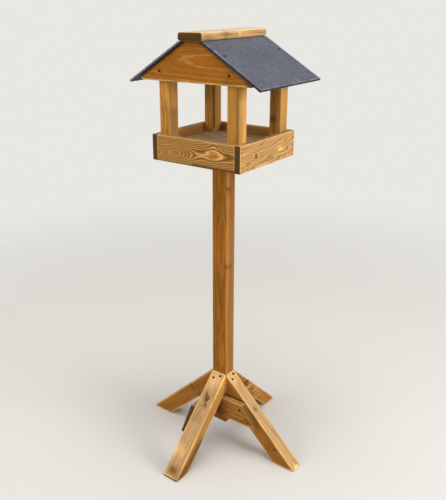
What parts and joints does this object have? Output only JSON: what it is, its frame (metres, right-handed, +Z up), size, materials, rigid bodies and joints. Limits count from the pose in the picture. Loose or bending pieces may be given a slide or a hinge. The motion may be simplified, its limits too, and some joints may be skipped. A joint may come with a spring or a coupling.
{
  "type": "bird table",
  "caption": "Free-standing timber bird table: a post on splayed legs carries a shallow tray under a pitched slate roof on corner uprights.",
  "frame": {"origin": "on the ground under the post's axis, midway between the legs' toes", "axes": "+Z up, Y along the roof's ridge, X across the gables, +X towards the right slate seen from the front gable on -Y"},
  "size_m": [0.581, 0.569, 1.3521],
  "materials": {
    "post_wood": "stained softwood, planed, satin",
    "leg_wood": "stained softwood, planed, worn pale on the upper faces",
    "strut_wood": "stained softwood board, planed",
    "bearer_wood": "stained softwood board, sawn",
    "tray_wood": "stained softwood board with a strong grain, satin",
    "floor_wood": "weathered softwood board, matt",
    "upright_wood": "stained softwood, planed",
    "gable_wood": "stained softwood board with a strong grain, satin",
    "cap_wood": "stained softwood board, bleached on its upper face",
    "roof_slate": "riven natural slate with dressed edges, matt",
    "fixing_steel": "zinc-plated steel, dulled"
  },
  "bodies": {
    "root": {"post": "post_wood", "leg_front": "leg_wood", "leg_right": "leg_wood", "leg_back": "leg_wood", "leg_left": "leg_wood", "strut_front": "strut_wood", "strut_right": "strut_wood", "strut_back": "strut_wood", "strut_left": "strut_wood", "bearer_left": "bearer_wood", "bearer_right": "bearer_wood", "tray_floor": "floor_wood", "tray_front": "tray_wood", "tray_back": "tray_wood", "tray_left": "tray_wood", "tray_right": "tray_wood", "upright_front_left": "upright_wood", "upright_front_right": "upright_wood", "upright_back_left": "upright_wood", "upright_back_right": "upright_wood", "gable_front": "gable_wood", "gable_back": "gable_wood", "slate_left": "roof_slate", "slate_right": "roof_slate", "ridge_cap": "cap_wood", "leg_screws": "fixing_steel", "strut_screws": "fixing_steel", "floor_screws": "fixing_steel", "tray_nails": "fixing_steel", "gable_screws": "fixing_steel", "cap_screws": "fixing_steel", "slate_nails": "fixing_steel"}
  },
  "joints": []
}
